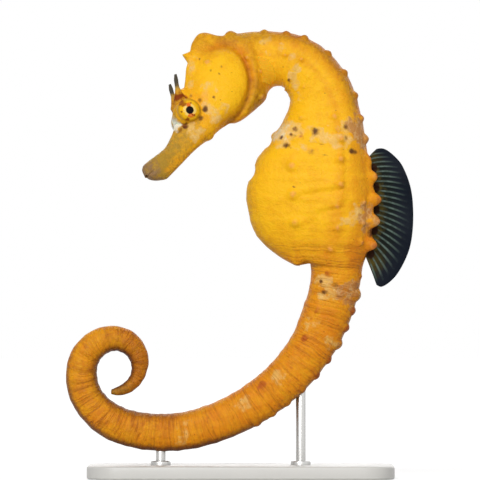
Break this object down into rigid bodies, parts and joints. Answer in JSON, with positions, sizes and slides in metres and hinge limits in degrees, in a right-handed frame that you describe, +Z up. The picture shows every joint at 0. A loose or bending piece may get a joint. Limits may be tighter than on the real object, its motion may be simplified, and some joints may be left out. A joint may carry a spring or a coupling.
{
  "type": "pot-bellied seahorse model on a display stand",
  "caption": "Life-size seahorse with a turned head, deep belly, fanned dorsal fin and curled tail, held above a flat display base by slim rods.",
  "frame": {"origin": "centre of the display base's underside", "axes": "+Z up, -X the way the animal faces, -Y the animal's left side, +X the side of its back and dorsal fin"},
  "size_m": [0.1038, 0.048, 0.1345],
  "materials": {
    "skin": "moist golden-yellow skin with a low satin sheen, orange and brown on the tail, with fine dark specks",
    "eye": "wet glossy eye, yellow iris with red-brown patches and a small black pupil",
    "frond": "soft skin filament, orange at the root and dark grey at the tip",
    "dorsal_fin": "navy-black fin membrane with pale grey-green rays",
    "clear_fin": "thin translucent yellow fin membrane",
    "stand_base": "plain satin paint, pale warm grey",
    "stand_rod": "fine brushed stainless steel"
  },
  "bodies": {
    "root": {"mouth": "skin", "snout": "skin", "head": "skin", "coronet": "skin", "gill_cover_left": "skin", "gill_cover_right": "skin", "eye_left": "eye", "eye_right": "eye", "brow_frond_left": "frond", "brow_frond_right": "frond", "neck_upper": "skin", "neck_lower": "skin", "chest": "skin", "trunk": "skin", "belly": "skin", "dorsal_fin": "dorsal_fin", "pectoral_fin_left": "clear_fin", "pectoral_fin_right": "clear_fin", "anal_fin": "clear_fin", "tail_1": "skin", "tail_2": "skin", "tail_3": "skin", "tail_4": "skin", "tail_5": "skin", "tail_6": "skin", "tail_7": "skin", "tail_tip": "skin", "stand_base": "stand_base", "stand_rod_front": "stand_rod", "stand_rod_rear": "stand_rod"}
  },
  "joints": []
}
